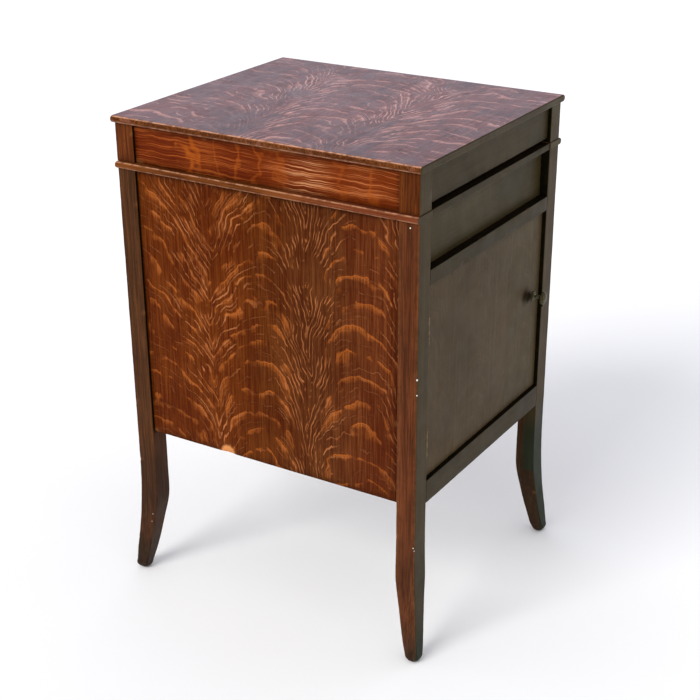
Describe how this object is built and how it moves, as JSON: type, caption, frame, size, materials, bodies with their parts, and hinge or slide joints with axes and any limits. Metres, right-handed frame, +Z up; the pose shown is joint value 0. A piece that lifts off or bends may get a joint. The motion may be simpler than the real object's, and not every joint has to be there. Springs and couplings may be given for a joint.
{
  "type": "icebox",
  "caption": "Small zinc-lined oak icebox on curved legs, with a lift lid over the ice chamber and a latched side-hung door to the food compartment.",
  "frame": {"origin": "middle of the whole footprint, feet and knob included, at floor level", "axes": "+Z up, front with the door towards -Y, +X to the right of someone facing the door"},
  "size_m": [0.5586, 0.6422, 0.914],
  "materials": {
    "oak": "dark red-brown stained quarter-sawn oak, worn satin varnish",
    "oak_top": "stained quarter-sawn oak with a dull sheen",
    "softwood": "plain planed softwood, unfinished",
    "cork": "granulated cork slab",
    "zinc": "dull spangled zinc sheet",
    "brass": "aged dark brass",
    "steel": "dull steel screws",
    "wire": "tinned wire",
    "gasket": "grey wool felt"
  },
  "bodies": {
    "case": {"post_front_left": "oak", "post_front_right": "oak", "post_back_left": "oak", "post_back_right": "oak", "side_panel_left": "oak", "side_panel_right": "oak", "back_panel": "oak", "upper_front_panel": "oak", "mid_rail": "oak", "bottom_rail": "oak", "bottom_board": "softwood", "waist_board_left": "oak", "waist_board_right": "oak", "waist_rail_front": "oak", "waist_rail_back": "oak", "cork_walls": "cork", "cork_bottom": "cork", "door_jamb": "softwood", "zinc_floor": "zinc", "zinc_walls": "zinc", "cleats": "softwood", "ice_bearers": "softwood", "ice_pan": "zinc", "ice_pan_outlet": "brass", "drain_pipe": "zinc", "pan_runners": "softwood", "lid_hinge_case_leaves": "brass", "door_hinge_case_leaves": "brass", "hinge_pins": "brass", "case_hinge_screws": "steel", "strike_plate": "brass"},
    "lid": {"lid_top_board": "oak_top", "lid_corner_stiles": "oak", "lid_side_aprons": "oak", "lid_apron_front": "oak", "lid_apron_back": "oak", "lid_inner_frame": "softwood", "lid_cork": "cork", "lid_zinc": "zinc", "lid_hinge_lid_leaves": "brass", "lid_hinge_lid_screws": "steel"},
    "door": {"door_board": "oak", "door_cork": "cork", "door_zinc": "zinc", "door_gasket": "gasket", "door_hinge_door_leaves": "brass", "door_hinge_door_screws": "steel", "knob_rosette": "brass"},
    "latch": {"latch_knob": "brass", "latch_spindle": "steel", "latch_cam": "brass"},
    "rack": {"ice_rack_slats": "softwood", "ice_rack_runners": "softwood", "ice_rack_nails": "steel"},
    "shelf": {"wire_shelf": "wire"},
    "pan": {"drip_pan": "zinc", "drip_pan_pull": "steel"}
  },
  "joints": [
    {"name": "lid_hinge", "type": "hinge", "parent": "case", "child": "lid", "pos_m": [0, 0.30796, 0.83315], "axis": [-1, 0, 0], "range_deg": [0, 95]},
    {"name": "door_hinge", "type": "hinge", "parent": "case", "child": "door", "pos_m": [-0.2221, -0.29794, 0.521], "axis": [0, 0, -1], "range_deg": [0, 110]},
    {"name": "latch_turn", "type": "hinge", "parent": "door", "child": "latch", "pos_m": [0.2, -0.29514, 0.541], "axis": [0, 1, 0], "range_deg": [0, 90]},
    {"name": "ice_rack_lift", "type": "slide", "parent": "case", "child": "rack", "axis": [0, 0, 1], "range_m": [0, 0.11]},
    {"name": "shelf_lift", "type": "slide", "parent": "case", "child": "shelf", "axis": [0, 0, 1], "range_m": [0, 0.15]},
    {"name": "drip_pan_slide", "type": "slide", "parent": "case", "child": "pan", "axis": [0, -1, 0], "range_m": [0, 0.35]}
  ]
}
